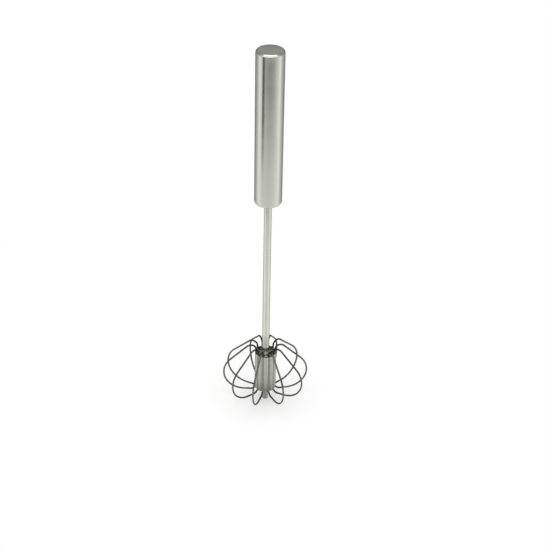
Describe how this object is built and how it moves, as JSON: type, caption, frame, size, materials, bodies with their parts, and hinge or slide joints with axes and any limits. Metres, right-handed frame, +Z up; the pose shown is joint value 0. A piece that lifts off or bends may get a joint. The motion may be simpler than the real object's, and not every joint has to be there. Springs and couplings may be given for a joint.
{
  "type": "rotary push whisk",
  "caption": "Steel push whisk: pressing the sprung tubular handle down its twisted strip spins the shaft and a head of bent wire loops on a pivot tip.",
  "frame": {"origin": "centre of the pivot tip's flat end face, on the spin axis, with the handle at rest", "axes": "+Z runs up the spin axis from the tip to the flat top of the handle; +X is to the right and -Y towards the viewer in the picture, within a few degrees"},
  "size_m": [0.0783, 0.0739, 0.35],
  "materials": {
    "handle_steel": "satin stainless, drawn lengthwise",
    "polished_steel": "bright polished stainless",
    "hub_steel": "satin pressed stainless sheet",
    "wire_steel": "bright drawn stainless wire",
    "plain_steel": "turned steel",
    "spring_steel": "oiled spring steel",
    "nylon": "moulded natural nylon"
  },
  "bodies": {
    "handle": {"handle_shell": "handle_steel", "guide_bush": "nylon", "strip_anchor": "nylon", "anchor_pin": "spring_steel", "drive_strip": "spring_steel", "return_spring": "spring_steel"},
    "slider": {"spring_collar": "nylon", "thrust_washer": "plain_steel"},
    "rotor": {"drive_nut": "nylon", "shaft_tube": "polished_steel", "hub_core": "plain_steel", "hub_sleeve": "hub_steel", "whisk_wire_01": "wire_steel", "whisk_wire_02": "wire_steel", "whisk_wire_03": "wire_steel", "whisk_wire_04": "wire_steel", "whisk_wire_05": "wire_steel", "whisk_wire_06": "wire_steel", "whisk_wire_07": "wire_steel", "whisk_wire_08": "wire_steel", "whisk_wire_09": "wire_steel", "whisk_wire_10": "wire_steel", "pivot_tip": "polished_steel"}
  },
  "joints": [
    {"name": "plunge", "type": "slide", "parent": "handle", "child": "slider", "axis": [0, 0, 1], "range_m": [0, 0.06], "stiffness_N_per_m": 120, "springref_m": -0.03, "deforming": ["return_spring"]},
    {"name": "spin", "type": "hinge", "parent": "slider", "child": "rotor", "pos_m": [0, 0, 0], "axis": [0, 0, 1], "range_deg": [0, 900]}
  ],
  "couplings": [
    {"joint": "spin", "follows": "plunge", "rad_per_m": 261.8}
  ]
}
